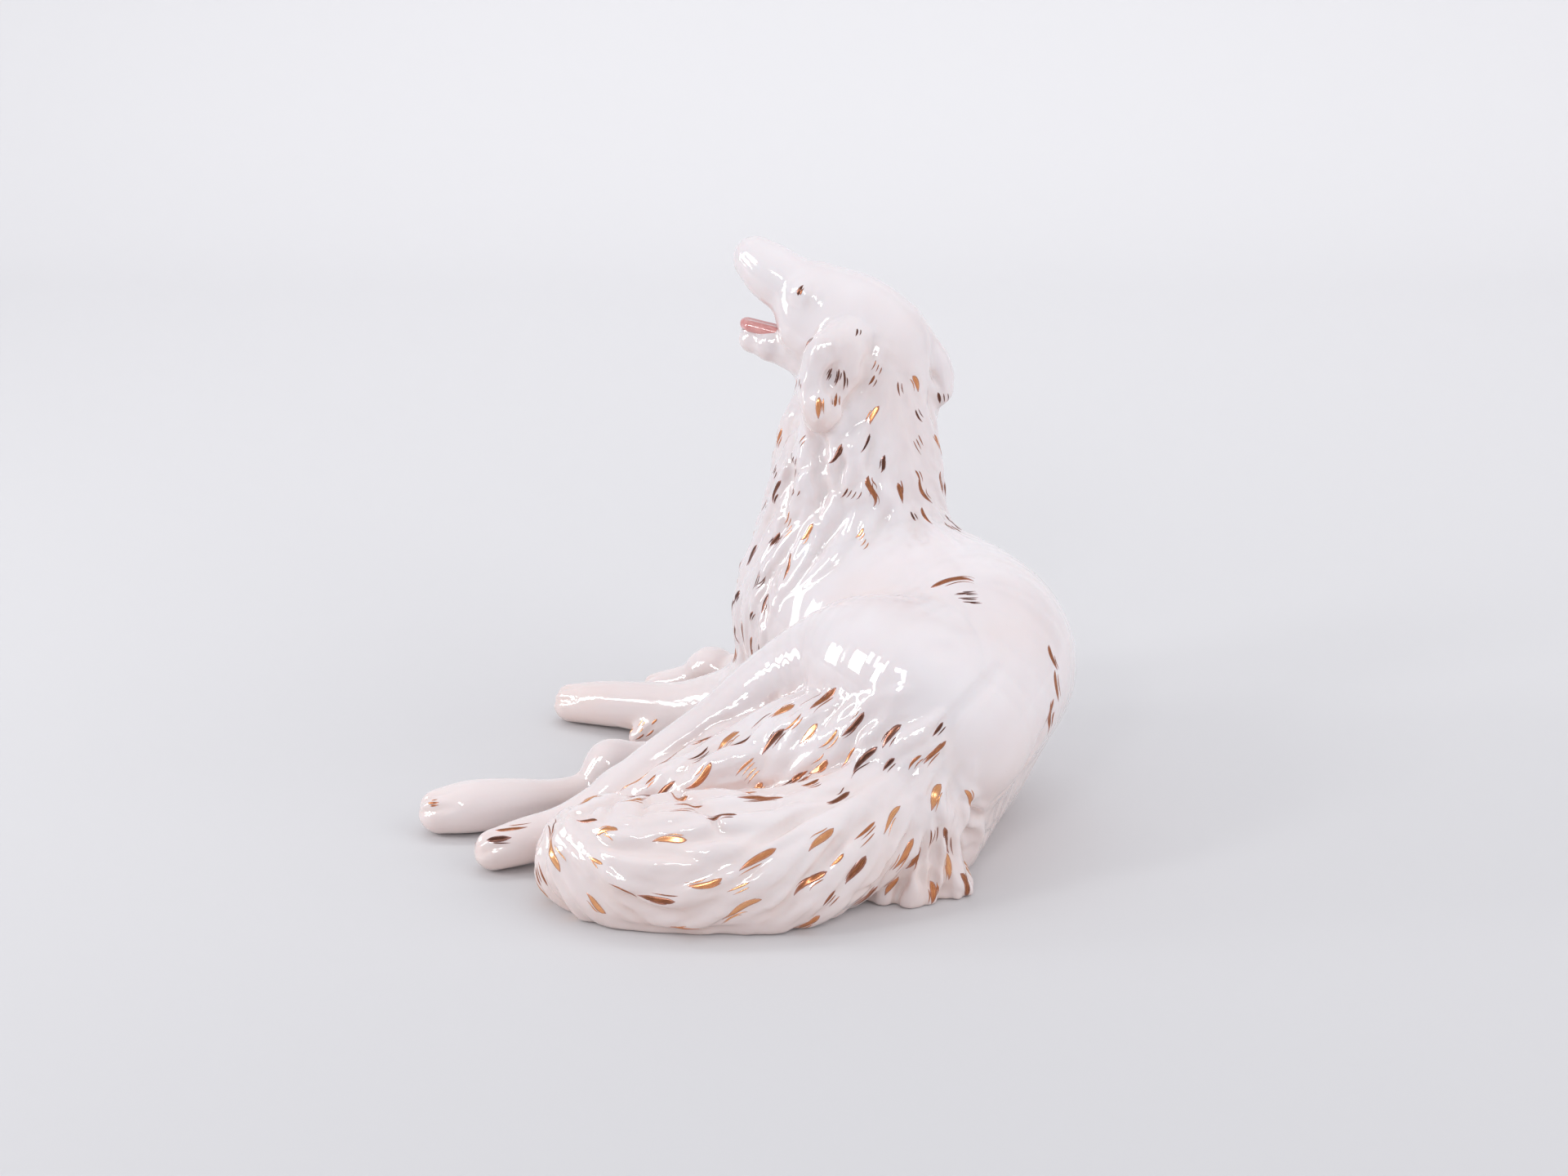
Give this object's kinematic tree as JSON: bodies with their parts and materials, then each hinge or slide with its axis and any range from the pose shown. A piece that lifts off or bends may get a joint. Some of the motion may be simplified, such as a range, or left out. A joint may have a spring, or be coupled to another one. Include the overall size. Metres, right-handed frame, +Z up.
{
  "type": "ceramic dog figurine",
  "caption": "Glazed slip-cast figurine of a long-haired hound lying curled on its haunch, head raised and mouth open, with brushed lustre fur marks and a flat resting face.",
  "frame": {"origin": "centre of the footprint box, on the resting face at z = 0", "axes": "+Z up; -X the side that the legs and the muzzle point to; +Y from the rump and tail to the chest; +X the convex side of the curled back"},
  "size_m": [0.2664, 0.245, 0.2244],
  "materials": {
    "glaze": "clear gloss glaze over a warm pinkish white body, with gold and copper lustre strokes",
    "tongue_glaze": "gloss coral pink underglaze",
    "bisque": "matt unglazed fired body"
  },
  "bodies": {
    "root": {"trunk_shell": "glaze", "closing_slab": "bisque", "neck_shell": "glaze", "head_shell": "glaze", "lower_jaw": "glaze", "tongue": "tongue_glaze", "left_ear": "glaze", "right_ear": "glaze", "left_foreleg": "glaze", "right_foreleg": "glaze", "left_hind_leg": "glaze", "right_hind_leg": "glaze", "tail_plume": "glaze", "rump_tuft": "glaze"}
  },
  "joints": []
}
